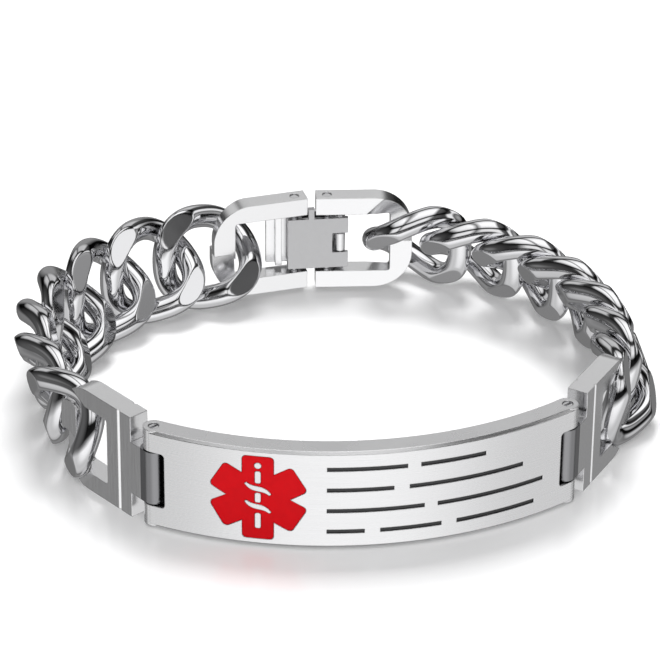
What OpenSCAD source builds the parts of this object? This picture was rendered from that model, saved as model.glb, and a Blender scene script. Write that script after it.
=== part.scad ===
// Medical alert bracelet, closed and standing on its narrow edge. A curved identity plate with an
// enamel emblem faces -Y, a hinged end connector joins each end of it to a curb chain of twisted
// links, and a fold-over clasp closes the loop at +Y. Millimetres, +Z up.
// Origin: the middle of the loop's box, on the surface that the bracelet stands on.

/* [Loop] */
// Depth of the closed loop, from the face of the plate to the back of the clasp
loop_depth = 58.6; // [56:0.2:62]
// Angle that each end connector folds back from straight behind the plate
connector_angle = 35.3; // [32:0.5:39]

/* [Plate] */
// Radius of the plate's curved face
plate_r = 43.4; // [40:0.2:48]
// Straight distance between the two hinge pins of the plate
pin_span = 44.8; // [42:0.2:47]
// Height of the plate, across the wrist band
plate_h = 12; // [11:0.1:12.6]
// Thickness of the plate
plate_t = 2.4; // [2.2:0.05:2.8]
// Bevel along the long edges of the plate
plate_bevel = 0.3; // [0.1:0.05:0.5]
// Height of the notch in each end of the plate
notch_h = 6.8; // [5.5:0.1:7.5]
// Depth of the notch beyond the hinge pin
notch_depth = 1.8; // [1.6:0.1:3]
// Diameter of the plate's hinge pins
hinge_pin_d = 1.1; // [0.8:0.05:1.3]

/* [Emblem] */
// Distance across the emblem, from the end of one arm to the end of the opposite one
emblem_d = 10.3; // [9.6:0.1:10.8]
// Width of one arm of the emblem
emblem_arm = 3.4; // [3.2:0.1:3.8]
// Distance along the plate from its middle to the middle of the emblem
emblem_offset = 12; // [11:0.1:13]
// Thickness of the enamel
enamel_t = 0.4; // [0.25:0.05:0.6]

/* [Engraving] */
// Height of the engraved dashes that stand for the wearer's details
dash_h = 0.5; // [0.3:0.05:0.8]
// Depth of the engraving
dash_depth = 0.15; // [0.1:0.05:0.3]
// Distance between the rows of dashes
dash_pitch = 2.6; // [2:0.1:2.8]
// Distance along the plate from its middle to the start of the rows
dash_start = 4.6; // [3.6:0.1:5]

/* [Connectors] */
// Length of the connector beyond its hinge gap
connector_len = 12; // [11.4:0.1:13]
// Height of the connector
connector_h = 12.6; // [12.4:0.1:13.4]
// Thickness of the connector
connector_t = 2.4; // [2.2:0.05:2.8]
// Distance from the hinge pin to the connector's straight edge
connector_gap = 2.5; // [2.1:0.1:3]
// Length of the solid part of the connector, up to its window
connector_solid = 4.1; // [3.6:0.1:4.6]
// Height of the arms above and below the window
connector_arm = 2.2; // [1.8:0.1:2.6]
// Distance from the connector's straight edge to its decorative groove
groove_at = 2; // [1.2:0.1:3]

/* [Chain] */
// Outer length of one link
link_len = 13.1; // [12.8:0.1:13.3]
// Outer height of one link
link_h = 12.45; // [11.6:0.05:12.5]
// Thickness of the link's wire
wire_d = 2.75; // [2.5:0.05:2.85]
// Thickness of the chain across its polished faces
chain_t = 4.7; // [4.4:0.1:5.4]
// Twist of each end of a link out of the link's flat middle
link_twist = 38; // [36:1:42]
// Play between one link and the next, along the chain
link_play = 0.25; // [0.15:0.05:0.5]

/* [Clasp] */
// Length of one clasp loop
clasp_loop_len = 11.5; // [11:0.1:12.5]
// Height of the clasp loops
clasp_h = 12; // [11.4:0.1:12.4]
// Thickness of the clasp loops
clasp_t = 2.2; // [2:0.05:2.5]
// Height of the arms of a clasp loop
clasp_arm = 2.2; // [1.8:0.1:2.5]
// Gap between the two clasp loops
clasp_gap = 1.2; // [0.8:0.1:1.6]
// Distance from a loop's open end to its pin
clasp_pin_inset = 1.35; // [1.1:0.05:1.6]
// Diameter of the clasp pins
clasp_pin_d = 1; // [0.8:0.05:1.1]
// Height of the leaf and the cover of the clasp
leaf_h = 6.6; // [5.8:0.1:6.8]
// Thickness of the clasp's leaf
leaf_t = 0.5; // [0.35:0.05:0.55]
// Thickness of the clasp's cover
cover_t = 0.7; // [0.5:0.05:0.9]
// Height of the clasp above the middle plane of the loop
clasp_lift = 0.5; // [0:0.1:0.6]

/* [Hidden] */
links_a_side = 7;

// Sides: the left of the picture is -X, the right is +X
LEFT = -1;
RIGHT = 1;

// How the bracelet was laid down, one row a side, chosen by eye: the angle from straight back at
// which the chain leaves its connector, the angle from straight across at which it meets the
// clasp, the angle that the clasp's loop is folded in by, the slack added to each link's play, and
// the lean of each link towards the middle, from the plate to the clasp. The left links lean out.
laid = [
    [21.5, 8.3, 10, 0.07, [-12, -17, -22, -26, -29, -31, -34]],
    [24, 13.4, 4, -0.04, [18, 21, 24.5, 28, 31.5, 34.5, 33]],
];

small = 0.01;
fine = 72;
arc_fine = 240;
bore_play = 0.05;
fit_gap = 0.1;
hinge_side_gap = 0.15;

mid_z = connector_h / 2;

// Plate
plate_mid_r = plate_r - plate_t / 2;
pin_angle = asin(pin_span / 2 / plate_mid_r);
plate_axis_y = plate_r - loop_depth / 2;
pin_y = plate_axis_y - plate_mid_r * cos(pin_angle);
knuckle_r = plate_t / 2 - 0.03;

// Emblem
emblem_gap = 0.05;
emblem_corner = 0.5;
knob_d = 0.75;
staff_w = 0.62;
serpent_w = 0.6;
serpent_reach = 1.35;
serpent_fall = 1.3;
serpent_steps = 12;
// Heights in the emblem: the knob, the middle and length of each piece of the staff, and the
// middle of each stroke of the serpent between them
knob_at = 4;
staff_pieces = [[2.55, 1.5], [0, 1.2], [-2.9, 1.9]];
serpent_strokes = [1.1, -1.15];

// The four rows of engraved dashes, each dash as shares of the room right of their start
dash_rows = [
    [[0, 0.36], [0.42, 0.72]],
    [[0, 0.3], [0.37, 0.9]],
    [[0, 0.44], [0.5, 1]],
    [[0, 0.17], [0.24, 0.52], [0.59, 0.96]],
];

// Connectors
loop_corner = 4.6;
connector_bar = 2.6;
tongue_h = notch_h - 2 * hinge_side_gap;
connector_window = connector_len - connector_bar - connector_solid;
connector_reach = connector_gap + connector_len - connector_bar / 2;

// Chain
half_len = (link_len - wire_d) / 2;
half_h = (link_h - wire_d) / 2;
squareness = 2.3;
link_pitch = link_len - 2 * wire_d - link_play;
ring_steps = 28;
wire_steps = 8;
seat_r = wire_d / 2 + 0.25;
seat_shares = [-0.93, -0.8, -0.5, -0.1];
seat_lap = 0.7;
end_play = 0.45;

// Clasp
clasp_bar = 2.6;
leaf_play = 0.1;
cover_back = clasp_t / 2 + 0.55;
clasp_y = loop_depth / 2 - cover_back;
clasp_z = mid_z + clasp_lift;
clasp_pin_x = clasp_gap / 2 + clasp_pin_inset;
cover_front = cover_back - cover_t;
barrel_r = cover_front - 0.1;
leaf_left_x = -clasp_pin_x - barrel_r;
leaf_tail = 2.45;
leaf_right_x = clasp_pin_x + leaf_tail;
hinge_eye_r = 0.62;
hinge_x = leaf_right_x - hinge_eye_r - 0.3;
hinge_y = -clasp_t / 2 + hinge_eye_r;
eye_h = 2.3;
cover_pin_d = 0.66;
cover_tail = 3.3;
cover_left_x = -clasp_pin_x - cover_tail;
hook_x = leaf_left_x - 0.65;
hook_t = 0.75;

// How far the first and the last link's middle lies from the bar that it hangs on
end_reach = half_len - wire_d / 2 - connector_bar / 2 - end_play;
function chain_pitch(side) = link_pitch + laid_row(side)[3];
function chain_len(side) = (links_a_side - 1) * chain_pitch(side) + 2 * end_reach;

// The route of one chain is a cubic curve in plan: it leaves the connector's bar and meets the
// clasp's bar at the angles of its row, with both handles as long as the links need.
path_steps = 60;

function heading(angle) = [cos(angle), sin(angle)];
function turned(p, angle) =
    [p[0] * cos(angle) - p[1] * sin(angle), p[0] * sin(angle) + p[1] * cos(angle)];
function connector_heading(side) = 90 - side * connector_angle;
function clasp_heading(side) = side == LEFT ? 180 + laid_row(side)[2] : -laid_row(side)[2];
function clasp_loop_origin(side) =
    [side * clasp_pin_x, clasp_y] - clasp_pin_inset * heading(clasp_heading(side));
function laid_row(side) = laid[side == LEFT ? 0 : 1];
function chain_start(side) =
    [side * pin_span / 2, pin_y] + connector_reach * heading(connector_heading(side));
function chain_end(side) = clasp_loop_origin(side)
    + (clasp_loop_len - clasp_bar / 2) * heading(clasp_heading(side));

function bezier(p, t) =
    pow(1 - t, 3) * p[0] + 3 * pow(1 - t, 2) * t * p[1] + 3 * (1 - t) * t * t * p[2]
    + pow(t, 3) * p[3];
function chain_curve(side, handle) =
    let (start = chain_start(side), stop = chain_end(side), row = laid_row(side),
         poles = [start, start + handle * heading(90 - side * row[0]),
                  stop + handle * heading(90 - side * (90 + row[1])), stop])
    [for (i = [0:path_steps]) bezier(poles, i / path_steps)];
function run_lengths(path) =
    [for (i = 0, s = 0; i < len(path); i = i + 1,
          s = s + (i < len(path) ? norm(path[i] - path[i - 1]) : 0)) s];
function path_length(path) = run_lengths(path)[len(path) - 1];

// The handle length that gives the curve the chain's length, by halving the interval
function solve_handle(side, low = 1, high = 50, rounds = 30) =
    let (middle = (low + high) / 2)
    rounds == 0 ? middle
    : path_length(chain_curve(side, middle)) < chain_len(side)
        ? solve_handle(side, middle, high, rounds - 1)
        : solve_handle(side, low, middle, rounds - 1);

left_path = chain_curve(LEFT, solve_handle(LEFT));
right_path = chain_curve(RIGHT, solve_handle(RIGHT));
left_runs = run_lengths(left_path);
right_runs = run_lengths(right_path);

function at_run(path, runs, s) =
    [for (axis = [0, 1]) lookup(s, [for (i = [0:path_steps]) [runs[i], path[i][axis]]])];
function on_route(side, s) =
    side == LEFT ? at_run(left_path, left_runs, s) : at_run(right_path, right_runs, s);

// The place in plan of a link's middle, the way it heads, and its lean
function link_run(side, number) = end_reach + (number - 1) * chain_pitch(side);
function link_place(side, number) = on_route(side, link_run(side, number));
function link_heading(side, number) =
    let (s = link_run(side, number), way = on_route(side, s + 0.5) - on_route(side, s - 0.5))
    atan2(way[1], way[0]);
function link_lean(side, number) = -side * laid_row(side)[4][number - 1];

// The blank of the plate: a bevelled band on an arc, with a round knuckle at each end
module plate_blank() {
    inner = plate_r - plate_t;
    wedge_r = 1.4 * plate_r;
    translate([0, plate_axis_y, mid_z - plate_h / 2])
        intersection() {
            rotate_extrude($fn = arc_fine)
                polygon([[inner, 0], [plate_r - plate_bevel, 0], [plate_r, plate_bevel],
                         [plate_r, plate_h - plate_bevel], [plate_r - plate_bevel, plate_h],
                         [inner, plate_h]]);
            translate([0, 0, -1])
                linear_extrude(plate_h + 2)
                    polygon([[0, 0], wedge_r * heading(-90 - pin_angle),
                             wedge_r * heading(-90 + pin_angle)]);
        }
    for (side = [LEFT, RIGHT])
        translate([side * pin_span / 2, pin_y, mid_z])
            cylinder(r = knuckle_r, h = plate_h, center = true, $fn = fine);
}

// A rectangle centred on the origin with round corners
module rounded_box(length, height, corner) {
    square([length - 2 * corner, height], center = true);
    square([length, height - 2 * corner], center = true);
    for (x = [-1, 1], y = [-1, 1])
        translate([x * (length / 2 - corner), y * (height / 2 - corner)])
            circle(r = corner, $fn = fine);
}

// The notch in one end of the plate, which the connector's tongue turns in
module plate_notch(side) {
    length = 8;
    corner = 0.45;
    translate([side * pin_span / 2, pin_y, mid_z])
        rotate([90, 0, side * pin_angle])
            translate([side * (length / 2 - notch_depth), 0, 0])
                linear_extrude(3 * plate_t, center = true)
                    rounded_box(length, notch_h, corner);
}

// What lies between two depths under the curved face of the plate
module face_layer(depth, proud) {
    translate([0, plate_axis_y, mid_z])
        difference() {
            cylinder(r = plate_r + proud, h = 2 * plate_h, center = true, $fn = arc_fine);
            cylinder(r = plate_r - depth, h = 3 * plate_h, center = true, $fn = arc_fine);
        }
}

// The outline of the emblem: six arms with rounded corners, wider by a margin
function emblem_arm_end(half, reach, corner) =
    concat([for (a = [0:18:90]) [half - corner, reach - corner] + corner * heading(a)],
           [for (a = [90:18:180]) [corner - half, reach - corner] + corner * heading(a)]);

module emblem_outline(margin) {
    half = emblem_arm / 2 + margin;
    arm_end = emblem_arm_end(half, emblem_d / 2 + margin, emblem_corner);
    polygon([for (k = [0:5], p = concat(arm_end, [2 * half * heading(120)])) turned(p, 60 * k)]);
}

// One stroke of the serpent: it crosses the staff, falls to the right and thins at both ends
function stroke_side(height, side_way, margin) =
    [for (i = [0:serpent_steps])
        let (u = 2 * i / serpent_steps - 1,
             slope = atan2(-serpent_fall / 2 * (0.3 + 2.1 * u * u), serpent_reach),
             half = side_way * (serpent_w / 2 * (1 - 0.55 * u * u) + margin))
        [serpent_reach * u, height - serpent_fall / 2 * (0.3 * u + 0.7 * pow(u, 3))]
            + margin * u * heading(slope) + half * heading(slope + 90)];
function reversed(list) = [for (i = [len(list) - 1:-1:0]) list[i]];

module staff_and_serpent(margin) {
    translate([0, knob_at, 0])
        circle(d = knob_d + 2 * margin, $fn = fine);
    for (piece = staff_pieces)
        translate([0, piece[0], 0])
            rounded_box(staff_w + 2 * margin, piece[1] + 2 * margin, 0.2 + margin);
    for (height = serpent_strokes)
        polygon(concat(stroke_side(height, 1, margin),
                       reversed(stroke_side(height, -1, margin))));
}

// A flat figure stood on the face of the plate at a distance along it from the middle
module on_plate_face(along) {
    turn = along / plate_r * 180 / PI;
    translate([0, plate_axis_y, mid_z])
        rotate([90, 0, turn])
            translate([0, 0, plate_r - plate_t / 2])
                linear_extrude(2 * plate_t, center = true)
                    children();
}

// The recess that the enamel fills, with the staff and the serpent left standing in it
module emblem_recess() {
    intersection() {
        face_layer(enamel_t + emblem_gap, plate_t);
        on_plate_face(-emblem_offset)
            difference() {
                emblem_outline(emblem_gap);
                staff_and_serpent(0);
            }
    }
}

module engraved_dashes() {
    room = pin_span / 2 - notch_depth - 1.2 + dash_start;
    for (row = [0:3], dash = dash_rows[row]) {
        length = (dash[1] - dash[0]) * room;
        intersection() {
            face_layer(dash_depth, plate_t);
            translate([dash[0] * room - dash_start + length / 2, plate_axis_y - plate_r,
                       mid_z + (1.5 - row) * dash_pitch])
                cube([length, 6 * plate_t, dash_h], center = true);
        }
    }
}

module id_plate() {
    color("gainsboro")
        difference() {
            plate_blank();
            for (side = [LEFT, RIGHT]) {
                plate_notch(side);
                translate([side * pin_span / 2, pin_y, mid_z])
                    cylinder(d = hinge_pin_d + 2 * bore_play, h = 2 * plate_h, center = true,
                             $fn = fine);
            }
            emblem_recess();
            engraved_dashes();
        }
}

module emblem_enamel() {
    color("crimson")
        intersection() {
            face_layer(enamel_t, 0);
            on_plate_face(-emblem_offset)
                difference() {
                    emblem_outline(0);
                    staff_and_serpent(emblem_gap);
                }
        }
}

// A hinge pin of the plate, slotted at both ends
module plate_pin(side) {
    length = plate_h - 2 * fit_gap;
    slot = [2 * hinge_pin_d, 0.26, 0.5];
    slot_turn = 35;
    color("silver")
        translate([side * pin_span / 2, pin_y, mid_z])
            difference() {
                cylinder(d = hinge_pin_d, h = length, center = true, $fn = fine);
                for (z = [-length / 2, length / 2])
                    translate([0, 0, z])
                        rotate([0, 0, slot_turn])
                            cube(slot, center = true);
            }
}

// A flat loop that starts at x = 0 and ends in a rounded bar: round outer corners, and a window
// whose corners follow them. It stands on edge in the XZ plane.
module flat_loop(length, height, thick, arm, bar, window) {
    rotate([90, 0, 0])
        linear_extrude(thick, center = true)
            difference() {
                loop_outline(length, height / 2, loop_corner);
                translate([length - bar, 0, 0])
                    loop_hole(window, height / 2 - arm, loop_corner - arm);
            }
}

module loop_outline(length, half, corner) {
    translate([0, -half, 0])
        square([length - corner, 2 * half]);
    translate([0, corner - half, 0])
        square([length, 2 * (half - corner)]);
    for (y = [-1, 1])
        translate([length - corner, y * (half - corner), 0])
            circle(r = corner, $fn = fine);
}

// The window, drawn back from its outer end at x = 0
module loop_hole(length, half, corner) {
    inner_corner = 0.4;
    translate([-length / 2, 0, 0])
        rounded_box(length, 2 * half, inner_corner);
    translate([-length, corner - half, 0])
        square([length, 2 * (half - corner)]);
}

// Two seats in the bar, one from each face, where the strands of a link cross it. They follow
// the strands that run to the link's end at -X, as straight cuts between points on them.
module strand_seats() {
    points = [for (share = seat_shares) strand_point(share)];
    for (half_turn = [0, 180], i = [1:len(points) - 1]) {
        run = points[i] - points[i - 1];
        rotate([half_turn, 0, 0])
            translate(points[i - 1])
                along_to(run)
                    translate([0, 0, -seat_lap])
                        cylinder(r = seat_r, h = norm(run) + 2 * seat_lap, $fn = fine);
    }
}

// The same seats for a link of the chain, in the frame of the loop that it hangs on
module seats_for(side, number, origin, loop_heading, end_turn, lift) {
    place = turned(link_place(side, number) - origin, -loop_heading);
    translate([place[0], place[1], -lift])
        rotate([0, 0, link_heading(side, number) - loop_heading + end_turn])
            rotate([link_lean(side, number) * (end_turn == 0 ? 1 : -1), 0, 0])
                strand_seats();
}

// The two quarters of a loop's end, one on each face, that are ground down at a slant towards the
// bar, so that the strands of the link lie in them. The loop's outer end is at x = 0.
module hollow_quarters(thick, window_half) {
    slant = 10;
    start = 5.5;
    size = 12;
    for (half_turn = [0, 180])
        rotate([half_turn, 0, 0])
            intersection() {
                translate([-start, -thick / 2, window_half])
                    rotate([0, 45, 0])
                        rotate([0, 0, slant])
                            translate([0, -size, 0])
                                cube(size);
                translate([-size, -size, 0.2])
                    cube(2 * size);
            }
}

// Turns the Z axis to a direction
module along_to(v) {
    rotate([0, acos(v[2] / norm(v)), atan2(v[1], v[0])])
        children();
}

// The middle of the upper strand of a link, at a share of its half length from its middle
function strand_point(share) =
    let (rise = half_h * pow(1 - pow(abs(share), squareness), 1 / squareness),
         turn = link_twist * share)
    [half_len * share, rise * sin(turn), rise];

// A connector along +X from its hinge pin on the Z axis, centred on z = 0
module connector(side) {
    eye_r = connector_t / 2;
    difference() {
        union() {
            translate([connector_gap, 0, 0])
                flat_loop(connector_len, connector_h, connector_t, connector_arm,
                          connector_bar, connector_window);
            cylinder(r = eye_r, h = tongue_h, center = true, $fn = fine);
            translate([(connector_gap + fit_gap) / 2, 0, 0])
                cube([connector_gap + fit_gap, connector_t, tongue_h], center = true);
        }
        cylinder(d = hinge_pin_d + 2 * bore_play, h = 2 * connector_h, center = true, $fn = fine);
        seats_for(side, 1, [side * pin_span / 2, pin_y], connector_heading(side), 0, 0);
        translate([connector_gap + connector_len, 0, 0])
            hollow_quarters(connector_t, connector_h / 2 - connector_arm);
        for (face = [-1, 1])
            translate([connector_gap + groove_at, face * connector_t / 2, 0])
                rotate([0, 0, 45])
                    cube([0.3, 0.3, 2 * connector_h], center = true);
    }
}

module placed_connector(side) {
    color("darkgray")
        translate([side * pin_span / 2, pin_y, mid_z])
            rotate([0, 0, connector_heading(side)])
                connector(side);
}

// Cross-section points of the wire round one point of a link's twisted middle line
function ring_point(t) =
    let (c = cos(t), s = sin(t), power = 2 / squareness,
         x = half_len * sign(c) * pow(abs(c), power),
         rise = half_h * sign(s) * pow(abs(s), power),
         turn = link_twist * x / half_len)
    [x, rise * sin(turn), rise];
function unit(v) = v / norm(v);
function flat_at_face(p) = [p[0], max(-chain_t / 2, min(chain_t / 2, p[1])), p[2]];
function wire_ring(t) =
    let (p = ring_point(t),
         ahead = unit(ring_point(t + 2) - ring_point(t - 2)),
         turn = link_twist * p[0] / half_len,
         across = [0, cos(turn), -sin(turn)],
         side_way = unit(across - (across * ahead) * ahead),
         out_way = cross(ahead, side_way))
    [for (k = [0:wire_steps - 1])
        let (a = 360 * (k + 0.5) / wire_steps)
        flat_at_face(p + wire_d / 2 * (cos(a) * out_way + sin(a) * side_way))];

link_points = [for (i = [0:ring_steps - 1], q = wire_ring(360 * (i + 0.5) / ring_steps)) q];
function link_index(i, k) = (i % ring_steps) * wire_steps + k % wire_steps;
link_faces = [for (i = [0:ring_steps - 1], k = [0:wire_steps - 1], half = [0, 1])
    half == 0
        ? [link_index(i, k), link_index(i, k + 1), link_index(i + 1, k + 1)]
        : [link_index(i, k), link_index(i + 1, k + 1), link_index(i + 1, k)]];

// Every point of every link in plan, and from them the middle of the whole loop's box
plan_points = [for (side = [LEFT, RIGHT], k = [1:links_a_side])
    let (place = link_place(side, k), way = link_heading(side, k), lean = link_lean(side, k))
    for (p = link_points) place + turned([p[0], p[1] * cos(lean) - p[2] * sin(lean)], way)];
plan_x = [for (p = plan_points) p[0]];
plan_y = [for (p = plan_points) p[1]];
middle_x = (max(plan_x) + min(plan_x)) / 2;
middle_y = (max(max(plan_y), loop_depth / 2) - loop_depth / 2) / 2;

module stand() {
    translate([-middle_x, -middle_y, 0])
        children();
}

// One link, numbered from the plate, in its place on the chain of its side
module chain_link(side, number) {
    place = link_place(side, number);
    color("silver")
        translate([place[0], place[1], mid_z])
            rotate([0, 0, link_heading(side, number)])
                rotate([link_lean(side, number), 0, 0])
                    polyhedron(link_points, link_faces);
}

// A clasp loop along +X from its open end at x = 0, centred on z = 0
module clasp_loop(side) {
    open_end = 2;
    window = clasp_loop_len - clasp_bar + open_end;
    difference() {
        flat_loop(clasp_loop_len, clasp_h, clasp_t, clasp_arm, clasp_bar, window);
        translate([clasp_pin_inset, 0, 0])
            cylinder(d = clasp_pin_d + 2 * bore_play, h = 2 * clasp_h, center = true, $fn = fine);
        seats_for(side, links_a_side, clasp_loop_origin(side), clasp_heading(side), 180,
                  clasp_lift);
        translate([clasp_loop_len, 0, 0])
            hollow_quarters(clasp_t, clasp_h / 2 - clasp_arm);
    }
}

module placed_clasp_loop(side) {
    color("gainsboro")
        translate([clasp_loop_origin(side)[0], clasp_loop_origin(side)[1], clasp_z])
            rotate([0, 0, clasp_heading(side)])
                clasp_loop(side);
}

module clasp_pin(side) {
    color("silver")
        translate([side * clasp_pin_x, clasp_y, clasp_z])
            cylinder(d = clasp_pin_d, h = clasp_h - 2 * fit_gap, center = true, $fn = fine);
}

// The leaf: a plate inside the loops that turns on the left pin and carries the cover's hinge
module clasp_leaf() {
    inner = -clasp_t / 2;
    lug = [0.7, 0.7, 1.3];
    slot_h = eye_h + 2 * hinge_side_gap;
    slot_half = hinge_eye_r + 0.35;
    color("lightgray")
        translate([0, clasp_y, clasp_z])
            difference() {
                union() {
                    translate([leaf_left_x, inner, -leaf_h / 2])
                        cube([leaf_right_x - leaf_left_x, leaf_t, leaf_h]);
                    translate([-clasp_pin_x, 0, 0])
                        cylinder(r = barrel_r, h = leaf_h, center = true, $fn = fine);
                    translate([leaf_left_x, inner, -leaf_h / 2])
                        cube([2 * barrel_r, -inner, leaf_h]);
                    translate([hinge_x, hinge_y, 0])
                        cylinder(r = hinge_eye_r, h = leaf_h, center = true, $fn = fine);
                    translate([-lug[0] / 2, inner, leaf_h / 2 - small])
                        cube(lug);
                }
                translate([-clasp_pin_x, 0, 0])
                    cylinder(d = clasp_pin_d + 2 * bore_play, h = 2 * leaf_h, center = true,
                             $fn = fine);
                translate([hinge_x, hinge_y, 0])
                    cylinder(d = cover_pin_d + 2 * bore_play, h = 2 * leaf_h, center = true,
                             $fn = fine);
                translate([hinge_x + slot_half, 0, 0])
                    cube([4 * slot_half, 2 * clasp_t, slot_h], center = true);
            }
}

// The cover: the outer plate that folds over the right pin and hooks behind the leaf's barrel
module clasp_cover() {
    color("gainsboro")
        translate([0, clasp_y, clasp_z])
            difference() {
                union() {
                    translate([cover_left_x, cover_front, -leaf_h / 2])
                        cube([hinge_x + hinge_eye_r - cover_left_x, cover_t, leaf_h]);
                    translate([hook_x - hook_t, 0, -leaf_h / 2])
                        cube([hook_t, cover_front + small, leaf_h]);
                    translate([hinge_x, hinge_y, 0])
                        cylinder(r = hinge_eye_r, h = eye_h, center = true, $fn = fine);
                    translate([hinge_x - 0.1, hinge_y, -eye_h / 2])
                        cube([hinge_eye_r + 0.1, cover_front - hinge_y + small, eye_h]);
                }
                translate([hinge_x, hinge_y, 0])
                    cylinder(d = cover_pin_d + 2 * bore_play, h = 2 * leaf_h, center = true,
                             $fn = fine);
            }
}

module cover_hinge_pin() {
    color("silver")
        translate([hinge_x, clasp_y + hinge_y, clasp_z])
            cylinder(d = cover_pin_d, h = leaf_h - fit_gap, center = true, $fn = fine);
}

stand() id_plate();
stand() emblem_enamel();
stand() plate_pin(LEFT);  // plate_pin_left
stand() plate_pin(RIGHT);  // plate_pin_right
stand() placed_connector(LEFT);  // connector_left
stand() placed_connector(RIGHT);  // connector_right
stand() placed_clasp_loop(LEFT);  // clasp_loop_left
stand() placed_clasp_loop(RIGHT);  // clasp_loop_right
stand() clasp_pin(LEFT);  // clasp_pin_left
stand() clasp_pin(RIGHT);  // clasp_pin_right
stand() clasp_leaf();
stand() clasp_cover();
stand() cover_hinge_pin();
for (k = [1:links_a_side])
    stand() chain_link(LEFT, k);
for (k = [1:links_a_side])
    stand() chain_link(RIGHT, k);
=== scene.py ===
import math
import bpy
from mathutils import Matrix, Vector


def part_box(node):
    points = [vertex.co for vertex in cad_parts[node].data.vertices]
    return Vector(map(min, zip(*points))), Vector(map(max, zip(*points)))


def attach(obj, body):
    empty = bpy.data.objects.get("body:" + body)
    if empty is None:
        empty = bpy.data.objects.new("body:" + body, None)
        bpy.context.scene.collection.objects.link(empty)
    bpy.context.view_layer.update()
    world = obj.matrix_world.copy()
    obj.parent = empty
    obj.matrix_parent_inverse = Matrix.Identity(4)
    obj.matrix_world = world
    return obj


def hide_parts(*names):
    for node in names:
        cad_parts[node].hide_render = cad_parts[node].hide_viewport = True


bl_info = {
    "name": "Medical alert bracelet",
    "version": (1, 0, 0),
    "blender": (4, 5, 0),
    "location": "View3D > Sidebar > Bracelet",
    "description": "Dresses the packed bracelet: smooth links, steel, enamel, floor and camera",
    "category": "Object",
}

import bpy
import numpy as np
from mathutils import Matrix

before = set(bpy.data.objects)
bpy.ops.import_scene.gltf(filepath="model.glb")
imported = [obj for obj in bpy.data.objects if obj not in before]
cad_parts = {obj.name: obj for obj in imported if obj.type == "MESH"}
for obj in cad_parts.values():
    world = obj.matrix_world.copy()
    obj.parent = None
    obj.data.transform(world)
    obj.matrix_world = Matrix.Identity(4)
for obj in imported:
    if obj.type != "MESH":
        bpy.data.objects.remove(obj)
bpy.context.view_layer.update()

MM = 0.001
BODY = "bracelet"
LINKS_A_SIDE = 7
LINK_NODES = [f"{side}_link_{k + 1}" for side in ("left", "right") for k in range(LINKS_A_SIDE)]


# ---------------------------------------------------------------- sizes and colours

def millimetres(name, description, default):
    return bpy.props.FloatProperty(name=name, description=description, default=default * MM,
                                   min=0, unit="LENGTH", precision=5)


def degrees(name, description, default):
    return bpy.props.FloatProperty(name=name, description=description,
                                   default=math.radians(default), subtype="ANGLE")


def share(name, description, default):
    return bpy.props.FloatProperty(name=name, description=description, default=default,
                                   min=0, max=1, subtype="FACTOR")


def amount(name, description, default):
    return bpy.props.FloatProperty(name=name, description=description, default=default, min=0)


def colour(name, description, default):
    return bpy.props.FloatVectorProperty(name=name, description=description, default=default,
                                         size=4, min=0, max=1, subtype="COLOR")


class LinkSizes(bpy.types.PropertyGroup):
    length: millimetres("Length", "Outer length of one link", 13.1)
    height: millimetres("Height", "Outer height of one link", 12.45)
    wire: millimetres("Wire", "Thickness of the link's wire", 2.75)
    thickness: millimetres("Thickness", "Chain thickness across its polished flats", 4.7)
    twist: degrees("Twist", "Turn of each end out of the link's flat middle", 38)
    squareness: amount("Squareness", "Power of the link's outline, 2 for an ellipse", 2.3)
    edge: millimetres("Edge", "Softness of the edge round each polished flat", 0.03)


class PlateSizes(bpy.types.PropertyGroup):
    radius: millimetres("Radius", "Radius of the plate's curved face", 43.4)
    engraving_depth: millimetres("Engraving depth", "Depth of the engraved dashes", 0.15)
    engraving_start: millimetres("Engraving start", "Start of the rows, left of the middle", 5)
    engraving_end: millimetres("Engraving end", "End of the rows, right of the middle", 20)
    engraving_height: millimetres("Engraving height", "Height of all the rows", 9)
    thickness: millimetres("Thickness", "Thickness of the plate", 2.4)
    notch_height: millimetres("Notch height", "Height of the notch in each end", 6.8)
    notch_start: millimetres("Notch start", "Distance from the middle to the notches", 20.4)
    # Radius of the painted hinge shade: connector steel within it round each plate pin is coloured
    # dark in place of the shade there.
    hinge_shade: millimetres("Hinge shade", "Radius of the unpolished metal at a hinge", 1.5)


class Finishes(bpy.types.PropertyGroup):
    polished: colour("Polished steel", "Colour of the polished steel", (0.8, 0.8, 0.815, 1))
    brushed: colour("Brushed steel", "Colour of the brushed steel", (0.95, 0.95, 0.96, 1))
    engraved: colour("Engraving", "Colour in the engraved dashes", (0.03, 0.03, 0.032, 1))
    enamel: colour("Enamel", "Colour of the enamel", (0.86, 0.004, 0.01, 1))
    leaf: colour("Leaf", "Colour of the clasp's matt leaf", (0.6, 0.6, 0.61, 1))
    # Painted shade: the dark colour given to connector steel round the hinges, standing in for the
    # shade in the plate's notches.
    painted_hinge_shade: colour("Painted hinge shade", "Colour of the metal inside the hinges", (0.3, 0.3, 0.31, 1))
    # Painted shade: a near-black colour on the plate's notch walls, standing in for the shade
    # there.
    painted_notch_shade: colour("Painted notch shade", "Colour of the plate's notch walls", (0.05, 0.05, 0.052, 1))
    link_roughness: share("Link roughness", "Roughness of the polished links", 0.06)
    plate_roughness: share("Plate roughness", "Roughness of the brushed plate", 0.27)
    plate_pin_roughness: share("Plate pin roughness", "Roughness of the plate's pins", 0.2)
    connector_roughness: share("Connector roughness", "Roughness of the connectors", 0.2)
    clasp_roughness: share("Clasp roughness", "Roughness of the clasp's loops and cover", 0.22)
    clasp_pin_roughness: share("Clasp pin roughness", "Roughness of the clasp's pins", 0.15)
    leaf_roughness: share("Leaf roughness", "Roughness of the clasp's matt leaf", 0.34)
    edge_radius: millimetres("Edge radius", "Radius that the pieces' edges look rounded by", 0.12)


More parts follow.
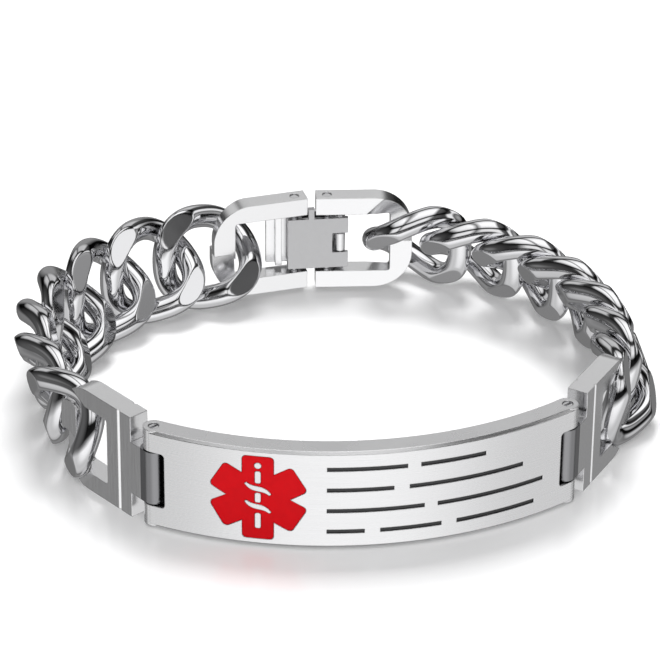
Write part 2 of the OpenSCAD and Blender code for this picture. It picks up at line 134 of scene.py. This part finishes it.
class StageSettings(bpy.types.PropertyGroup):
    azimuth: degrees("Azimuth", "Angle of the camera round the bracelet", -6.96)
    elevation: degrees("Elevation", "Angle of the camera above the floor", 30.22)
    roll: degrees("Roll", "Roll of the camera", 0.58)
    distance: millimetres("Distance", "Distance from the camera to its target", 429.1)
    target_back: millimetres("Target back", "Distance of the target behind the plate", 36.62)
    target_up: millimetres("Target up", "Height of the target above the floor", 5.25)
    lens: amount("Lens", "Focal length in millimetres on a 36 mm sensor", 200)
    floor: colour("Floor", "Colour of the floor", (0.92, 0.92, 0.925, 1))
    floor_half: millimetres("Floor half", "Half the length of the square floor", 1500)
    key_power: amount("Key power", "Power of the light over the clasp, in watts", 1.1)
    fill_power: amount("Fill power", "Power of the light over the camera, in watts", 0.5)


# ---------------------------------------------------------------- meshes

def grid_faces(rows, cols, close_rows=False, close_cols=False):
    """Quads of a grid of points: each joins a point, its next in the column and their next rows."""
    i = np.arange(rows if close_rows else rows - 1)[:, None]
    j = np.arange(cols if close_cols else cols - 1)[None, :]
    after_i, after_j = (i + 1) % rows, (j + 1) % cols
    corners = (i * cols + j, i * cols + after_j, after_i * cols + after_j, after_i * cols + j)
    return np.stack([c + 0 * i + 0 * j for c in corners], -1).reshape(-1, 4)


def add_piece(name, points, faces, material, body=BODY):
    """Makes an object from arrays of points and faces, smooth, and lets it ride on its body."""
    mesh = bpy.data.meshes.new(name)
    mesh.from_pydata(points.reshape(-1, 3).tolist(), [], faces.tolist())
    mesh.polygons.foreach_set("use_smooth", np.ones(len(mesh.polygons), bool))
    mesh.update()
    piece = bpy.data.objects.new(name, mesh)
    bpy.context.scene.collection.objects.link(piece)
    mesh.materials.append(material)
    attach(piece, body)
    return piece


def unit(vectors):
    return vectors / np.linalg.norm(vectors, axis=-1, keepdims=True)


def signed_power(values, power):
    return np.sign(values) * np.abs(values) ** power


def soft_limit(values, limit, softness):
    """Values kept under a limit in size: the smooth least of the value and the limit."""
    size = np.abs(values)
    least = -softness * np.logaddexp(-size / softness, -limit / softness)
    return np.sign(values) * least


def link_surface(sizes, rings=160, sides=56):
    """A curb link. Its middle line is a superellipse in the XZ plane, pushed across by its height
    times the sine of a turn that grows along the link. Circles of wire stand square to that line,
    and both faces are pressed flat at half the chain's thickness."""
    half_length, half_height = (sizes.length - sizes.wire) / 2, (sizes.height - sizes.wire) / 2

    def middle(t):
        along = half_length * signed_power(np.cos(t), 2 / sizes.squareness)
        rise = half_height * signed_power(np.sin(t), 2 / sizes.squareness)
        return np.stack([along, rise * np.sin(sizes.twist * along / half_length), rise], -1)

    t = 2 * np.pi * (np.arange(rings) + 0.5) / rings
    step = math.radians(1)
    line = middle(t)
    ahead = unit(middle(t + step) - middle(t - step))
    turn = sizes.twist * line[:, 0] / half_length
    across = np.stack([0 * turn, np.cos(turn), -np.sin(turn)], -1)
    sideways = unit(across - (across * ahead).sum(-1, keepdims=True) * ahead)
    outwards = np.cross(ahead, sideways)
    around = 2 * np.pi * np.arange(sides) / sides
    points = line[:, None] + sizes.wire / 2 * (
        np.cos(around)[None, :, None] * outwards[:, None]
        + np.sin(around)[None, :, None] * sideways[:, None])
    points[..., 1] = soft_limit(points[..., 1], sizes.thickness / 2, sizes.edge)
    return points, grid_faces(rings, sides, True, True)


def link_pose(node):
    """Centre and axes of a CAD link: the middle of its surface, its thinnest direction as the
    axis across it, a level axis along it, and the third square to both."""
    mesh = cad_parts[node].data
    points = np.empty(len(mesh.vertices) * 3)
    mesh.vertices.foreach_get("co", points)
    mesh.calc_loop_triangles()
    corners = np.empty(len(mesh.loop_triangles) * 3, int)
    mesh.loop_triangles.foreach_get("vertices", corners)
    triangles = points.reshape(-1, 3)[corners.reshape(-1, 3)]
    edges = triangles[:, 1:] - triangles[:, :1]
    area = np.linalg.norm(np.cross(edges[:, 0], edges[:, 1]), axis=1)
    middles = triangles.mean(1)
    centre = (middles * area[:, None]).sum(0) / area.sum()
    spread = (middles - centre) * np.sqrt(area)[:, None]
    across = np.linalg.eigh(spread.T @ spread)[1][:, 0]
    along = unit(np.cross(across, [0, 0, 1]))
    return centre, np.stack([along, across, np.cross(along, across)])


# ---------------------------------------------------------------- shader node groups

class Nodes:
    """A short way to add nodes to a tree and to link them. Each helper returns an output socket."""

    def __init__(self, tree):
        self.tree = tree

    def add(self, kind, settings=None, **inputs):
        node = self.tree.nodes.new(kind)
        for name, value in (settings or {}).items():
            setattr(node, name, value)
        for name, value in inputs.items():
            self.feed(node.inputs[name.replace("_", " ")], value)
        return node

    def feed(self, socket, value):
        if isinstance(value, bpy.types.NodeSocket):
            self.tree.links.new(value, socket)
        else:
            socket.default_value = value

    def math(self, operation, first, second=0.0):
        node = self.tree.nodes.new("ShaderNodeMath")
        node.operation = operation
        self.feed(node.inputs[0], first)
        self.feed(node.inputs[1], second)
        return node.outputs[0]

    def place(self):
        """The place of a point in the frame of its piece."""
        return self.add("ShaderNodeTexCoord").outputs["Object"]

    def axes(self, vector):
        """The outputs X, Y and Z of a vector."""
        return self.add("ShaderNodeSeparateXYZ", Vector=vector).outputs

    def stretched(self, vector, scale):
        return self.add("ShaderNodeMapping", Vector=vector, Scale=scale).outputs[0]

    def noise(self, vector, scale, detail, roughness=0.5):
        return self.add("ShaderNodeTexNoise", Vector=vector, Scale=scale, Detail=detail,
                        Roughness=roughness).outputs["Fac"]

    def bump(self, height, strength, depth, normal):
        """The normal of a surface that a height lifts by up to a depth."""
        return self.add("ShaderNodeBump", Height=height, Strength=strength, Distance=depth,
                        Normal=normal).outputs[0]

    def mixed(self, factor, first, second):
        node = self.add("ShaderNodeMix", {"data_type": "FLOAT"})
        for name, value in (("Factor", factor), ("A", first), ("B", second)):
            self.feed(node.inputs[name], value)
        return node.outputs[0]

    def mixed_colours(self, factor, first, second, blend="MIX"):
        node = self.add("ShaderNodeMix", {"data_type": "RGBA", "blend_type": blend})
        self.feed(node.inputs[0], factor)
        colours = [socket for socket in node.inputs if socket.type == "RGBA"]
        self.feed(colours[0], first)
        self.feed(colours[1], second)
        return [socket for socket in node.outputs if socket.type == "RGBA"][0]

    def shaded(self, colour, shade):
        """A colour times a grey that changes over the surface."""
        grey = self.add("ShaderNodeCombineColor", Red=shade, Green=shade, Blue=shade)
        return self.mixed_colours(1.0, colour, grey.outputs[0], "MULTIPLY")

    def between(self, value, low, high):
        """1 where a value lies between two others, and 0 elsewhere."""
        return self.math("MULTIPLY", self.math("GREATER_THAN", value, low),
                         self.math("LESS_THAN", value, high))

    def grey_ramp(self, value, rows):
        """Greys by value from -1 to 1: rows of the value and its grey."""
        ramp = self.add("ShaderNodeValToRGB", Fac=self.spread(value, -1, 1))
        stops = ramp.color_ramp.elements
        while len(stops) < len(rows):
            stops.new(0.5)
        for stop, (at, grey) in zip(stops, rows):
            stop.position = (at + 1) / 2
            stop.color = (grey, grey, grey, 1)
        return ramp.outputs[0]

    def spread(self, value, low, high, to_low=0.0, to_high=1.0):
        """A value from low to high moved to the range from to_low to to_high, and held in it."""
        node = self.add("ShaderNodeMapRange", Value=value)
        for name, number in (("From Min", low), ("From Max", high),
                             ("To Min", to_low), ("To Max", to_high)):
            self.feed(node.inputs[name], number)
        return node.outputs[0]


def new_group(name, inputs, outputs):
    """An empty shader node group with named inputs and outputs."""
    tree = bpy.data.node_groups.new(name, "ShaderNodeTree")
    for label, kind, default in inputs:
        socket = tree.interface.new_socket(label, in_out="INPUT", socket_type=kind)
        socket.default_value = default
    for label, kind in outputs:
        tree.interface.new_socket(label, in_out="OUTPUT", socket_type=kind)
    nodes = Nodes(tree)
    return nodes, nodes.add("NodeGroupInput").outputs, nodes.add("NodeGroupOutput")


def wear_group():
    """Handling marks: soft smudges that change the roughness, and fine random scratches."""
    nodes, given, result = new_group(
        "handling marks",
        [("Roughness", "NodeSocketFloat", 0.1), ("Smudge", "NodeSocketFloat", 0.05),
         ("Scratch", "NodeSocketFloat", 0.1), ("Edges", "NodeSocketVector", (0, 0, 0))],
        [("Roughness", "NodeSocketFloat"), ("Normal", "NodeSocketVector")])
    place = nodes.place()
    smudge = nodes.noise(place, 260, 3)
    low = nodes.math("SUBTRACT", given["Roughness"], given["Smudge"])
    high = nodes.math("ADD", given["Roughness"], given["Smudge"])
    lines = nodes.noise(nodes.stretched(place, (9000, 2500, 400)), 1, 2)
    pits = nodes.noise(place, 7000, 2)
    height = nodes.math("ADD", nodes.math("MULTIPLY", lines, 0.6),
                        nodes.math("MULTIPLY", pits, 0.4))
    nodes.feed(result.inputs["Roughness"], nodes.spread(smudge, 0.3, 0.7, low, high))
    nodes.feed(result.inputs["Normal"],
               nodes.bump(height, given["Scratch"], 0.01 * MM, given["Edges"]))
    return nodes.tree


def brushing_group():
    """Satin brushing: fine lines along a direction, from noise stretched along it."""
    nodes, given, result = new_group(
        "satin brushing",
        [("Grain", "NodeSocketVector", (150, 150, 15000)), ("Depth", "NodeSocketFloat", 0.2),
         ("Roughness", "NodeSocketFloat", 0.25), ("Edges", "NodeSocketVector", (0, 0, 0))],
        [("Roughness", "NodeSocketFloat"), ("Normal", "NodeSocketVector"),
         ("Shade", "NodeSocketFloat")])
    lines = nodes.noise(nodes.stretched(nodes.place(), given["Grain"]), 1, 3, 0.7)
    nodes.feed(result.inputs["Roughness"],
               nodes.math("ADD", given["Roughness"], nodes.spread(lines, 0.3, 0.7, -0.05, 0.05)))
    nodes.feed(result.inputs["Normal"],
               nodes.bump(lines, given["Depth"], 0.02 * MM, given["Edges"]))
    nodes.feed(result.inputs["Shade"], nodes.spread(lines, 0.25, 0.75, 0.94, 1.0))
    return nodes.tree


def shared_group(name, make):
    return bpy.data.node_groups.get(name) or make()


# ---------------------------------------------------------------- materials

# How often each brushing changes along X, Y and Z, in each metre: seldom along its lines
LINES_ALONG_PLATE = (150, 150, 16000)
LINES_UP_CONNECTOR = (9000, 9000, 200)
LINES_ALONG_CLASP = (300, 9000, 9000)
MATT_GRAIN = (2500, 2500, 2500)


def new_material(name):
    material = bpy.data.materials.new(name)
    material.use_nodes = True
    tree = material.node_tree
    return material, Nodes(tree), tree.nodes["Principled BSDF"]


def rounded_edges(nodes, radius):
    return nodes.add("ShaderNodeBevel", {"samples": 6}, Radius=radius).outputs[0]


def own_normal(nodes):
    return nodes.add("ShaderNodeNewGeometry").outputs["Normal"]


def polished_steel(name, base, roughness, radius=0.0):
    """Mirror-polished steel with faint smudges and hair scratches."""
    material, nodes, shader = new_material(name)
    shader.inputs["Base Color"].default_value = base
    shader.inputs["Metallic"].default_value = 1
    wear = nodes.add("ShaderNodeGroup",
                     {"node_tree": shared_group("handling marks", wear_group)},
                     Roughness=roughness, Smudge=0.03, Scratch=0.08,
                     Edges=rounded_edges(nodes, radius) if radius else own_normal(nodes))
    nodes.feed(shader.inputs["Roughness"], wear.outputs["Roughness"])
    nodes.feed(shader.inputs["Normal"], wear.outputs["Normal"])
    return material


def brushed_steel(name, base, roughness, grain, depth, radius):
    """Satin steel with fine lines along one direction. Returns the material, its nodes, its
    shader and its colour, for masks that darken parts of it."""
    material, nodes, shader = new_material(name)
    shader.inputs["Metallic"].default_value = 1
    satin = nodes.add("ShaderNodeGroup",
                      {"node_tree": shared_group("satin brushing", brushing_group)},
                      Grain=grain, Depth=depth, Roughness=roughness,
                      Edges=rounded_edges(nodes, radius))
    colour_of_steel = nodes.shaded(base, satin.outputs["Shade"])
    nodes.feed(shader.inputs["Base Color"], colour_of_steel)
    nodes.feed(shader.inputs["Roughness"], satin.outputs["Roughness"])
    nodes.feed(shader.inputs["Normal"], satin.outputs["Normal"])
    return material, nodes, shader, colour_of_steel


def use_material(material, *names):
    """Gives CAD nodes a material in place of their own."""
    for name in names:
        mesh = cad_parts[name].data
        mesh.materials.clear()
        mesh.materials.append(material)


# ---------------------------------------------------------------- operators

class BRACELET_OT_links(bpy.types.Operator):
    """Replaces the chain's faceted links by smooth polished ones"""
    bl_idname = "bracelet.links"
    bl_label = "Links"

    def execute(self, context):
        looks = context.scene.bracelet_finishes
        steel = polished_steel("polished steel", looks.polished, looks.link_roughness)
        surface, faces = link_surface(context.scene.bracelet_links)
        for node in LINK_NODES:
            centre, axes = link_pose(node)
            piece = add_piece(f"smooth_{node}", surface @ axes + centre, faces, steel)
            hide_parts(node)
        return {"FINISHED"}


class BRACELET_OT_plate(bpy.types.Operator):
    """Gives the identity plate its satin face, the dark floor of its engraving and painted shade on
    its notches' walls
    """
    bl_idname = "bracelet.plate"
    bl_label = "Plate"

    def execute(self, context):
        looks = context.scene.bracelet_finishes
        steel, nodes, shader, colour_of_steel = brushed_steel(
            "satin plate steel", looks.brushed, looks.plate_roughness,
            LINES_ALONG_PLATE, 0.12, looks.edge_radius)
        self.ink_engraving_and_paint_notch_shade(context, nodes, shader, colour_of_steel)
        use_material(steel, "id_plate")
        pins = polished_steel("pin steel", looks.polished, looks.plate_pin_roughness,
                              looks.edge_radius)
        use_material(pins, "plate_pin_left", "plate_pin_right")
        return {"FINISHED"}

    def ink_engraving_and_paint_notch_shade(self, context, nodes, shader, colour_of_steel):
        """Dark steel just below the curved face where it is engraved, and painted shade on the
        notches' walls.
        """
        plate, looks = context.scene.bracelet_plate, context.scene.bracelet_finishes
        low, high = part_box("id_plate")
        axes = nodes.axes(nodes.place())
        sideways = nodes.math("SUBTRACT", axes["X"], (low.x + high.x) / 2)
        forwards = nodes.math("SUBTRACT", axes["Y"], low.y + plate.radius)
        upwards = nodes.math("ABSOLUTE", nodes.math("SUBTRACT", axes["Z"], (low.z + high.z) / 2))
        radius = nodes.math("POWER", nodes.math("ADD", nodes.math("POWER", sideways, 2),
                                                nodes.math("POWER", forwards, 2)), 0.5)

        under_face = nodes.between(radius, plate.radius - 2 * plate.engraving_depth,
                                   plate.radius - plate.engraving_depth / 3)
        along = nodes.between(sideways, -plate.engraving_start, plate.engraving_end)
        rows = nodes.math("LESS_THAN", upwards, plate.engraving_height / 2)
        engraved = nodes.math("MULTIPLY", under_face, nodes.math("MULTIPLY", along, rows))
        inked = nodes.mixed_colours(engraved, colour_of_steel, looks.engraved)

        # Painted shade: the notch walls inside the plate are coloured near black, in place of the
        # shade there.
        skin = 0.3 * MM
        inside = nodes.between(radius, plate.radius - plate.thickness + skin, plate.radius - skin)
        ends = nodes.math("GREATER_THAN", nodes.math("ABSOLUTE", sideways), plate.notch_start)
        walls = nodes.math("LESS_THAN", upwards, plate.notch_height / 2 + 0.01 * MM)
        notch_shade_mask = nodes.math("MULTIPLY", inside, nodes.math("MULTIPLY", ends, walls))
        nodes.feed(shader.inputs["Base Color"], nodes.mixed_colours(notch_shade_mask, inked, looks.painted_notch_shade))
        nodes.feed(shader.inputs["Metallic"], nodes.math("SUBTRACT", 1, engraved))


class BRACELET_OT_emblem(bpy.types.Operator):
    """Gives the emblem its glossy red enamel"""
    bl_idname = "bracelet.emblem"
    bl_label = "Emblem"

    def execute(self, context):
        looks = context.scene.bracelet_finishes
        material, nodes, shader = new_material("red enamel")
        cloud = nodes.noise(nodes.place(), 900, 3)
        ramp = nodes.add("ShaderNodeValToRGB", Fac=cloud)
        deeper = [0.82 * part for part in looks.enamel[:3]]
        ramp.color_ramp.elements[0].color = (*deeper, 1)
        ramp.color_ramp.elements[1].color = looks.enamel
        nodes.feed(shader.inputs["Base Color"], ramp.outputs[0])
        nodes.feed(shader.inputs["Roughness"], nodes.spread(cloud, 0.3, 0.7, 0.28, 0.36))
        nodes.feed(shader.inputs["Normal"],
                   nodes.bump(cloud, 0.15, 0.02 * MM, rounded_edges(nodes, looks.edge_radius)))
        shader.inputs["Specular IOR Level"].default_value = 0.06
        shader.inputs["Coat Weight"].default_value = 0.03
        shader.inputs["Coat Roughness"].default_value = 0.12
        use_material(material, "emblem_enamel")
        return {"FINISHED"}


class BRACELET_OT_connectors(bpy.types.Operator):
    """Gives the end connectors their satin faces and painted shade round the hinges"""
    bl_idname = "bracelet.connectors"
    bl_label = "Connectors"

    def execute(self, context):
        looks = context.scene.bracelet_finishes
        steel, nodes, shader, colour_of_steel = brushed_steel(
            "satin connector steel", looks.brushed, looks.connector_roughness,
            LINES_UP_CONNECTOR, 0.08, looks.edge_radius)
        near = self.near_hinges(context, nodes)
        # Painted shade: the steel close to the hinges is coloured dark.
        nodes.feed(shader.inputs["Base Color"],
                   nodes.mixed_colours(near, colour_of_steel, looks.painted_hinge_shade))
        use_material(steel, "connector_left", "connector_right")
        return {"FINISHED"}

    def near_hinges(self, context, nodes):
        """A mask of what lies close to the axes of the two plate pins, where shade is painted."""
        axes = nodes.axes(nodes.place())
        masks = []
        for pin in ("plate_pin_left", "plate_pin_right"):
            low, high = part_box(pin)
            off = [nodes.math("POWER", nodes.math("SUBTRACT", axes[axis], middle), 2)
                   for axis, middle in (("X", (low.x + high.x) / 2), ("Y", (low.y + high.y) / 2))]
            masks.append(nodes.math("LESS_THAN", nodes.math("ADD", *off),
                                    context.scene.bracelet_plate.hinge_shade ** 2))
        return nodes.math("ADD", *masks)


class BRACELET_OT_clasp(bpy.types.Operator):
    """Gives the fold-over clasp and its pins their steel"""
    bl_idname = "bracelet.clasp"
    bl_label = "Clasp"

    def execute(self, context):
        looks = context.scene.bracelet_finishes
        steel = brushed_steel("satin clasp steel", looks.brushed, looks.clasp_roughness,
                              LINES_ALONG_CLASP, 0.06, looks.edge_radius)[0]
        leaf = brushed_steel("matt leaf steel", looks.leaf, looks.leaf_roughness,
                             MATT_GRAIN, 0.15, looks.edge_radius / 2)[0]
        pins = polished_steel("clasp pin steel", looks.polished, looks.clasp_pin_roughness,
                              looks.edge_radius / 2)
        use_material(steel, "clasp_loop_left", "clasp_loop_right", "clasp_cover")
        use_material(leaf, "clasp_leaf")
        use_material(pins, "clasp_pin_left", "clasp_pin_right", "cover_hinge_pin")
        return {"FINISHED"}


# The studio's light by direction. Each row is a coordinate of the direction and the light there:
# by height, across the flags overhead, and from the front of the floor to its rear
LIGHT_BY_HEIGHT = [(-1, 0.9), (-0.35, 1.0), (-0.2, 0.3), (-0.1, 0.01), (0.14, 0.01), (0.22, 0.6),
                   (0.34, 1.05), (0.59, 0.97), (0.66, 0.06), (0.76, 0.04), (0.81, 0.9), (1, 1.4)]
FLAGS_OVERHEAD = [(-1, 0.3), (-0.82, 0.02), (-0.62, 0.05), (-0.5, 0.9), (-0.3, 1), (-0.22, 0.15),
                  (-0.12, 0.9), (0.3, 1), (0.4, 0.11), (0.48, 0.11), (0.58, 0.06), (0.64, 0.08),
                  (0.7, 1), (0.8, 1), (0.86, 0.12), (1, 0.6)]
LIGHT_FROM_FLOOR = [(-1, 1), (-0.86, 0.985), (-0.81, 0.92), (-0.74, 0.855), (-0.66, 0.73),
                    (-0.6, 0.67), (-0.5, 0.6), (-0.4, 0.6), (-0.2, 0.62), (0.05, 0.5),
                    (0.2, 0.16), (0.4, 0.26), (1, 0.09)]
FLOOR_GAIN = 1.15
DIMMER_TO_REAR = [(-1, 1), (0.45, 1), (0.7, 0.68), (1, 0.62)]
LEAST_AT_LEFT = [(-1, 0.12), (-0.85, 0.07), (-0.6, 0), (1, 0)]
LEAST_AT_REAR = 0.3


def studio_world():
    """Light by direction, as a photographer's cards and flags give it. Above: pale strips with
    dark flags between them, dimmer to the rear, and a bright top. At the horizon: a dark strip,
    but for a little light at the left and the rear. Below: pale in front of the plate and dark
    behind it. The camera sees plain white."""
    world = bpy.data.worlds.new("studio")
    bpy.context.scene.world = world
    world.use_nodes = True
    nodes = Nodes(world.node_tree)
    axes = nodes.axes(nodes.add("ShaderNodeTexCoord").outputs["Generated"])
    floor = nodes.math("MULTIPLY", nodes.grey_ramp(axes["Y"], LIGHT_FROM_FLOOR), FLOOR_GAIN)
    overhead = nodes.math("MULTIPLY", nodes.grey_ramp(axes["X"], FLAGS_OVERHEAD),
                          nodes.grey_ramp(axes["Y"], DIMMER_TO_REAR))
    cards = nodes.mixed(nodes.spread(axes["Z"], -0.05, 0.05), floor, overhead)
    level = nodes.math("MULTIPLY", nodes.grey_ramp(axes["Z"], LIGHT_BY_HEIGHT), cards)
    rear = nodes.math("MULTIPLY", nodes.spread(axes["Y"], 0.9, 0.98), LEAST_AT_REAR)
    least = nodes.math("MAXIMUM", nodes.grey_ramp(axes["X"], LEAST_AT_LEFT), rear)
    level = nodes.math("MAXIMUM", level, least)
    seen = nodes.add("ShaderNodeLightPath").outputs["Is Camera Ray"]
    nodes.feed(world.node_tree.nodes["Background"].inputs["Color"],
               nodes.mixed(seen, level, 1.0))


def put_in_view(thing, place, right, up, back):
    """Puts a camera or a light at a place, by the directions of its own axes."""
    columns = np.stack([right, up, back, place], -1)
    thing.matrix_world = Matrix([*columns.tolist(), [0, 0, 0, 1]])


def area_light(name, place, size, power):
    """A square lamp that faces the middle of the floor and isn't mirrored in the steel."""
    light = bpy.data.lights.new(name, "AREA")
    light.size = size
    light.energy = power
    lamp = bpy.data.objects.new(name, light)
    bpy.context.scene.collection.objects.link(lamp)
    back = unit(np.array(place, float))
    right = unit(np.cross([0, 1, 0.01], back))
    put_in_view(lamp, place, right, np.cross(back, right), back)
    lamp.visible_glossy = False


class BRACELET_OT_stage(bpy.types.Operator):
    """Makes the floor, the studio light and the camera"""
    bl_idname = "bracelet.stage"
    bl_label = "Stage"

    def execute(self, context):
        stage = context.scene.bracelet_stage
        self.add_floor(context, stage)
        self.add_camera(context, stage)
        studio_world()
        area_light("key light", (0.02, 0.16, 0.34), 0.16, stage.key_power)
        area_light("fill light", (-0.05, -0.3, 0.3), 0.3, stage.fill_power)
        context.scene.view_settings.view_transform = "Standard"
        return {"FINISHED"}

    def add_floor(self, context, stage):
        """A square pale floor with a soft gloss, which the steel doesn't mirror."""
        corners = stage.floor_half * np.array([[-1, -1, 0], [1, -1, 0], [1, 1, 0], [-1, 1, 0]])
        mesh = bpy.data.meshes.new("floor")
        mesh.from_pydata(corners.tolist(), [], [[0, 1, 2, 3]])
        floor = bpy.data.objects.new("floor", mesh)
        context.scene.collection.objects.link(floor)
        material, nodes, shader = new_material("pale gloss floor")
        shader.inputs["Base Color"].default_value = stage.floor
        shader.inputs["Roughness"].default_value = 0.16
        shader.inputs["Specular IOR Level"].default_value = 0.6
        shader.inputs["Emission Color"].default_value = (1, 1, 1, 1)
        shader.inputs["Emission Strength"].default_value = 0.1
        mesh.materials.append(material)
        floor.visible_glossy = False

    def add_camera(self, context, stage):
        """A camera turned and raised round a target behind the plate, and rolled a little."""
        low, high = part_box("id_plate")
        target = np.array([(low.x + high.x) / 2, low.y + stage.target_back, stage.target_up])
        a, e, r = stage.azimuth, stage.elevation, stage.roll
        back = np.array([math.sin(a) * math.cos(e), -math.cos(a) * math.cos(e), math.sin(e)])
        right = np.array([math.cos(a), math.sin(a), 0])
        up = np.cross(back, right)
        camera = bpy.data.objects.new("camera", bpy.data.cameras.new("camera"))
        context.scene.collection.objects.link(camera)
        camera.data.lens = stage.lens
        camera.data.sensor_width = 36
        camera.data.clip_start = 0.01
        put_in_view(camera, target + back * stage.distance,
                    math.cos(r) * right + math.sin(r) * up,
                    math.cos(r) * up - math.sin(r) * right, back)
        context.scene.camera = camera


class BRACELET_PT_panel(bpy.types.Panel):
    """Lists the steps and their settings"""
    bl_idname = "BRACELET_PT_panel"
    bl_label = "Bracelet"
    bl_space_type = "VIEW_3D"
    bl_region_type = "UI"
    bl_category = "Bracelet"

    def draw(self, context):
        for group in GROUPS.values():
            settings = getattr(context.scene, group)
            box = self.layout.box()
            for name in settings.__annotations__:
                box.prop(settings, name)
        for operator in OPERATORS:
            self.layout.operator(operator.bl_idname)


GROUPS = {LinkSizes: "bracelet_links", PlateSizes: "bracelet_plate", Finishes: "bracelet_finishes",
          StageSettings: "bracelet_stage"}
OPERATORS = (BRACELET_OT_links, BRACELET_OT_plate, BRACELET_OT_emblem, BRACELET_OT_connectors,
             BRACELET_OT_clasp, BRACELET_OT_stage)


def register():
    for kind in (*GROUPS, *OPERATORS, BRACELET_PT_panel):
        bpy.utils.register_class(kind)
    for kind, name in GROUPS.items():
        setattr(bpy.types.Scene, name, bpy.props.PointerProperty(type=kind))


def unregister():
    for name in GROUPS.values():
        delattr(bpy.types.Scene, name)
    for kind in reversed((*GROUPS, *OPERATORS, BRACELET_PT_panel)):
        bpy.utils.unregister_class(kind)


def main():
    register()
    bpy.ops.bracelet.links()
    bpy.ops.bracelet.plate()
    bpy.ops.bracelet.emblem()
    bpy.ops.bracelet.connectors()
    bpy.ops.bracelet.clasp()
    bpy.ops.bracelet.stage()


if __name__ == "__main__":
    main()
